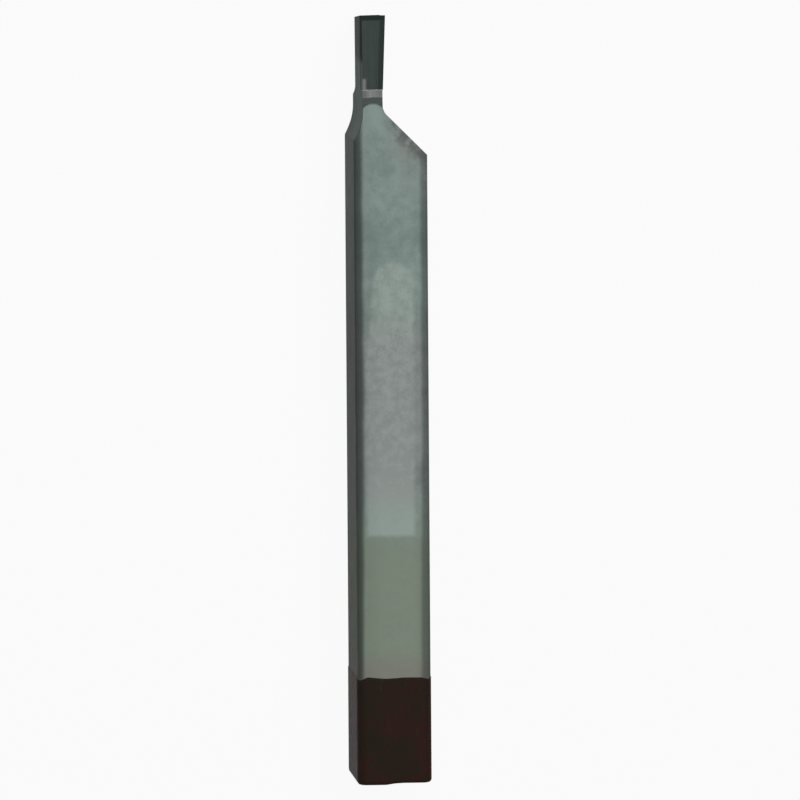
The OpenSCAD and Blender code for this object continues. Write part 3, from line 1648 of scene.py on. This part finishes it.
@dataclass
class Studio:
    """A pale floor and plain soft light, in metres and watts."""

    floor_size: float = 6.0
    floor_drop: float = 0.0001
    floor_tone: float = 0.35
    floor_white: float = 0.94
    sky_light: float = 0.13
    key_place: Triple = (0.42, -0.12, 0.9)
    key_size: float = 0.6
    key_power: float = 9.5

    def white_rays(self, kit: NodeKit) -> Wire:
        """Give 1 for the rays that see the background: from the camera, a mirror or a lens.

        Args:
            kit: The nodes of the floor or the world.

        Returns:
            The rays' mask.
        """
        seen = kit.add("ShaderNodeLightPath", output="Is Camera Ray")
        outputs = seen.socket.node.outputs
        for name in ("Is Glossy Ray", "Is Transmission Ray"):
            seen = seen.most(Wire(kit, outputs[name]))
        return seen

    def floor(self) -> None:
        """Lay a floor that is white to the eye and still takes a shadow."""
        bpy.ops.object.select_all(action="DESELECT")
        bpy.ops.mesh.primitive_plane_add(size=self.floor_size, location=(0, 0, -self.floor_drop))
        floor = bpy.context.object
        floor.name = "floor"
        kit = NodeKit.material("floor")
        shade = kit.add("ShaderNodeBsdfDiffuse", None, {"Color": (self.floor_tone,) * 3})
        white = kit.add("ShaderNodeEmission", None, {"Color": WHITE, "Strength": 1.0})
        seen = self.white_rays(kit) * self.floor_white
        kit.add_output(kit.add("ShaderNodeMixShader", None, {0: seen, 1: shade, 2: white}))
        floor.data.materials.append(kit.owner)

    def sky(self) -> None:
        """Light the scene evenly from all round, with white behind it."""
        world = bpy.data.worlds.new("studio")
        bpy.context.scene.world = world
        kit = NodeKit(world)
        even = kit.add("ShaderNodeBackground", None, {"Color": WHITE, "Strength": self.sky_light})
        white = kit.add("ShaderNodeBackground", None, {"Color": WHITE, "Strength": 1.0})
        shown = kit.add("ShaderNodeMixShader", None, {0: self.white_rays(kit), 1: even, 2: white})
        kit.add_output(shown, "ShaderNodeOutputWorld")

    def key_lamp(self) -> None:
        """Hang a square soft light that faces the tool."""
        light = bpy.data.lights.new("key", "AREA")
        light.size = self.key_size
        light.energy = self.key_power
        lamp = bpy.data.objects.new("key", light)
        lamp.location = Vector(self.key_place)
        lamp.rotation_mode = "QUATERNION"
        lamp.rotation_quaternion = (-lamp.location).to_track_quat("-Z", "Y")
        bpy.context.collection.objects.link(lamp)

    def build(self) -> None:
        """Set up the floor, the light and the view."""
        self.floor()
        self.sky()
        self.key_lamp()
        bpy.context.scene.view_settings.view_transform = "Standard"


@dataclass
class PhotoCamera:
    """A long lens that looks down on the tool from beyond its tip, fitted to the photograph."""

    head: Head
    pitch: float = 5.0
    roll: float = 4.85
    lean: float = -0.384
    distance: float = 2000.0
    picture_px: float = 800.0
    px_per_mm: float = 6.165
    anchor_px: Span = (392.68, 400.2)

    def axes(self) -> tuple[Vector, Vector, Vector]:
        """Give the camera's own axes.

        Returns:
            Its right, its up and its way back from the tool.
        """
        pitch, roll, lean = (math.radians(angle) for angle in (self.pitch, self.roll, self.lean))
        level = math.cos(roll)
        back = Vector((math.sin(pitch) * level, math.sin(roll), math.cos(pitch) * level))
        level_up = (Vector((1, 0, 0)) - back * back.x).normalized()
        level_right = level_up.cross(back)
        right = level_right * math.cos(lean) + level_up * math.sin(lean)
        up = level_up * math.cos(lean) - level_right * math.sin(lean)
        return right, up, back

    def build(self) -> None:
        """Place the camera, so that the middle of the shank's top shows at its pixel."""
        right, up, back = self.axes()
        middle = self.picture_px / 2
        shift_right = (middle - self.anchor_px[0]) / self.px_per_mm
        shift_up = (self.anchor_px[1] - middle) / self.px_per_mm
        target = Vector((0, 0, self.head.height)) + right * shift_right + up * shift_up
        data = bpy.data.cameras.new("photo_camera")
        data.lens = data.sensor_width * self.distance * self.px_per_mm / self.picture_px
        camera = bpy.data.objects.new("photo_camera", data)
        turn = Matrix((right, up, back)).transposed().to_4x4()
        camera.matrix_world = Matrix.Translation((target + back * self.distance) / MM_PER_M) @ turn
        bpy.context.collection.objects.link(camera)
        bpy.context.scene.camera = camera


def main() -> None:
    """Build every piece, the studio and the camera."""
    logging.basicConfig(level=logging.INFO, format="%(name)s: %(message)s")
    bench = Bench()
    head = Head()
    shank = Shank(bench, head)
    tip = CarbideTip(bench, head)
    for part in (shank, tip, BrazeFilm(bench, head, tip), EndDip(bench, head, shank)):
        piece = part.build()
        log.info("%s: %d faces", piece.name, len(piece.data.polygons))
    Studio().build()
    PhotoCamera(head).build()


if __name__ == "__main__":
    main()
